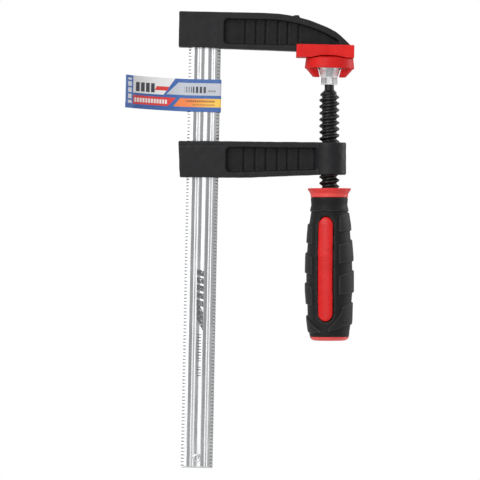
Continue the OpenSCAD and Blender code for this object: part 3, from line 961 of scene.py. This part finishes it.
# ---------------------------------------------------------------- label
def build_label():
    """Folded card: a sleeve round the bar whose two ends lie together as a flag that bends forward."""
    low, high = extent("card_label")
    card = 0.35
    half_x = high[0] - BAR_X - card / 2
    half_y = high[1] - card / 2
    # the middle line of the sleeve, from the flag's outer layer round the bar to its inner layer
    corner = 0.5

    def arc(cx, cy, r, start, stop, count):
        t = np.radians(np.linspace(start, stop, count))
        return np.stack([cx + r * np.cos(t), cy + r * np.sin(t)], -1)

    straight, bend_r, bend = 2.5, 28.5, 69.0
    inner_half = half_x - card / 2
    flag_x = BAR_X - inner_half - straight
    front_y = -half_y - card / 2
    centre_y = front_y + 2 * card - bend_r
    # two layers, by the radii of their middles about the bend's centre; the back one ends a little earlier
    outer = arc(flag_x, centre_y, bend_r - card / 2, 90, 90 + bend - 2.2, 60)
    inner = arc(flag_x, centre_y, bend_r - 1.5 * card, 90, 90 + bend, 60)
    along = np.linspace(flag_x + 0.1, BAR_X + half_x - corner, 60)
    sleeve_front = np.stack([along, np.full(60, -half_y)], -1)
    right = np.concatenate([arc(BAR_X + half_x - corner, -half_y + corner, corner, -90, 0, 6),
                            arc(BAR_X + half_x - corner, half_y - corner, corner, 0, 90, 6)])
    back = np.stack([np.linspace(BAR_X + half_x - corner - 0.3, BAR_X - half_x + corner + 0.3, 40),
                     np.full(40, half_y)], -1)
    left = np.concatenate([arc(BAR_X - half_x + corner, half_y - corner, corner, 90, 180, 6),
                           [[BAR_X - half_x, -half_y + 2.2], [BAR_X - half_x, -half_y + 1.4]],
                           arc(BAR_X - half_x - 0.55, -half_y + card + 0.55, 0.55, 0, -90, 5)])
    path = np.concatenate([inner[::-1], sleeve_front, right, back, left, outer])
    keep = [0]
    for i in range(1, len(path)):
        if np.hypot(*(path[i] - path[keep[-1]])) > 0.05:
            keep.append(i)
    path = path[keep]
    tangent = np.gradient(path, axis=0)
    tangent /= np.linalg.norm(tangent, axis=1)[:, None]
    normal = np.stack([tangent[:, 1], -tangent[:, 0]], -1)
    thick = card * 0.48
    levels = np.linspace(low[2], high[2], 40)
    levels = np.concatenate([[low[2]], levels, [high[2]]])
    cut = []
    count = len(path)
    order = np.concatenate([np.arange(count), np.arange(count)[::-1]])
    sign = np.repeat([1, -1], count)
    rings = []
    for k, z in enumerate(levels):
        edge = 0.6 if k in (0, len(levels) - 1) else 1.0
        xy = path[order] + normal[order] * (sign * thick * edge)[:, None]
        rings.append(np.column_stack([xy, np.full(len(order), z)]))
        cut.append(np.full(len(order), 1.0 if edge < 1 else 0.0))
    rings = np.stack(rings)
    points, faces = tube_mesh(rings)
    across = (high[0] - points[:, 0])
    down = high[2] - points[:, 2]
    # the flag's free end stands a little higher than the sleeve
    points[:, 2] += 0.9 * np.clip((flag_x + 2.0 - points[:, 0]) / 28.0, 0, 1)
    outward = np.tile(np.where(sign > 0, 1.0, 0.0), len(levels))
    arc_place = np.tile(order, len(levels))
    on_front = ((arc_place < len(inner) + len(sleeve_front) + 6) & (outward > 0)).astype(float)
    return make("card_label_folded", points, faces, "label", ["card_label"], CARD,
                {"across": across, "down": down, "front": on_front, "cut": np.concatenate(cut)}, sharp=50)


build_bar()
build_pin()
build_fixed_arm()
build_jaw_cap()
build_sliding_arm()
build_pad()
build_pad_cap()
build_spindle()
build_core()
build_grip()
build_label()


# ---------------------------------------------------------------- camera, light and floor
DISTANCE = 2.0
VIEW_HALF_WIDTH = 0.1128
SQUARE_CENTRE = np.array([-41.98, 0.0, -85.5])


def build_camera():
    """Looks along +Y at the middle of the clamp, rolled so that the screw stands upright in the picture."""
    target = lean(SQUARE_CENTRE) * MM
    right, up, back = lean(np.array([1.0, 0, 0])), lean(np.array([0, 0, 1.0])), np.array([0, -1.0, 0])
    data = bpy.data.cameras.new("camera")
    data.sensor_width = 36
    data.lens = 18 * DISTANCE / VIEW_HALF_WIDTH
    camera = bpy.data.objects.new("camera", data)
    place = np.eye(4)
    place[:3, 0], place[:3, 1], place[:3, 2] = right, up, back
    place[:3, 3] = target + back * DISTANCE
    camera.matrix_world = Matrix(place.tolist())
    bpy.context.scene.collection.objects.link(camera)
    bpy.context.scene.camera = camera
    return target


def area_light(name, place, target, size, power, colour=(1, 1, 1)):
    data = bpy.data.lights.new(name, "AREA")
    data.shape = "RECTANGLE"
    data.size, data.size_y = size
    data.energy = power
    data.color = colour
    light = bpy.data.objects.new(name, data)
    light.location = place
    light.rotation_mode = "QUATERNION"
    light.rotation_quaternion = (Vector(target) - Vector(place)).to_track_quat("-Z", "Y")
    light.visible_camera = False
    bpy.context.scene.collection.objects.link(light)


def build_world():
    """White behind the object, and a soft room round it, darker on the right."""
    world = bpy.data.worlds.new("studio")
    bpy.context.scene.world = world
    world.use_nodes = True
    nodes = Nodes(world.node_tree)
    direction = nodes.add("ShaderNodeTexCoord").outputs["Generated"]
    x, y, z = nodes.add("ShaderNodeSeparateXYZ", {0: direction}).outputs
    sideways = nodes.ramp(x, -0.12, 0.42, 0.85, 0.56)
    right_side = nodes.ramp(x, 0.8, 0.93, 0.0, 0.45)
    left_side = nodes.ramp(x, -0.99, -0.9, 0.2, 1.0)
    height = nodes.ramp(z, -0.8, 0.9, 0.45, 1.15)
    front = nodes.ramp(y, -0.95, 0.2, 1.0, 0.75)
    room = nodes.times(nodes.math("ADD", sideways, right_side), nodes.times(height, front))
    # a dark patch low in front, which the pad's cone mirrors
    middle = nodes.ramp(nodes.math("ABSOLUTE", x), 0.25, 0.5, 1.0, 0.0)
    low_front = nodes.times(nodes.ramp(z, -0.7, -0.3, 0.7, 0.0), middle)
    low_front = nodes.times(low_front, nodes.ramp(y, -0.6, -0.2, 1.0, 0.0))
    room = nodes.times(nodes.times(room, left_side), nodes.math("SUBTRACT", 1.0, low_front))
    seen = nodes.add("ShaderNodeLightPath").outputs["Is Camera Ray"]
    strength = nodes.add("ShaderNodeMix", {0: seen, 2: room, 3: 1.0}, data_type="FLOAT").outputs[0]
    background = nodes.add("ShaderNodeBackground", {"Strength": strength, "Color": (1, 1, 1, 1)})
    nodes.add("ShaderNodeOutputWorld", {0: background.outputs[0]})


def build_floor(target):
    """A pale disc outside the picture's lower edge. It is below the handle at each slide's own limit, but not
    when both slides are at their limits together, where the handle's end goes through it."""
    radius, height = 0.55, -0.27
    ring = np.stack([np.cos(around(96)), np.sin(around(96)), 0 * around(96)], -1)
    rings = np.stack([ring * radius * share for share in (0.02, 0.25, 0.5, 0.75, 1.0)])
    rings[..., 2] = height
    points = rings.reshape(-1, 3) + [target[0], 0, 0]
    faces = grid_faces(5, 96) + [list(range(96))]
    mesh = bpy.data.meshes.new("floor")
    mesh.from_pydata(points.tolist(), [], faces)
    look = Look("pale floor", Roughness=0.7)
    mesh.materials.append(look.finish(look.mix(look.noise(40.0), (0.80, 0.80, 0.80), (0.83, 0.83, 0.83))))
    floor = bpy.data.objects.new("floor", mesh)
    bpy.context.scene.collection.objects.link(floor)


target = build_camera()
build_world()
area_light("key", (-0.55, -0.75, 0.45), target, (0.7, 0.7), 4.6)
area_light("fill", (-0.4, -1.05, -0.1), target, (0.6, 0.9), 1.9)
area_light("rim", (0.55, 0.25, 0.25), target, (0.25, 0.8), 2.6)
build_floor(target)
bpy.context.scene.view_settings.view_transform = "Standard"
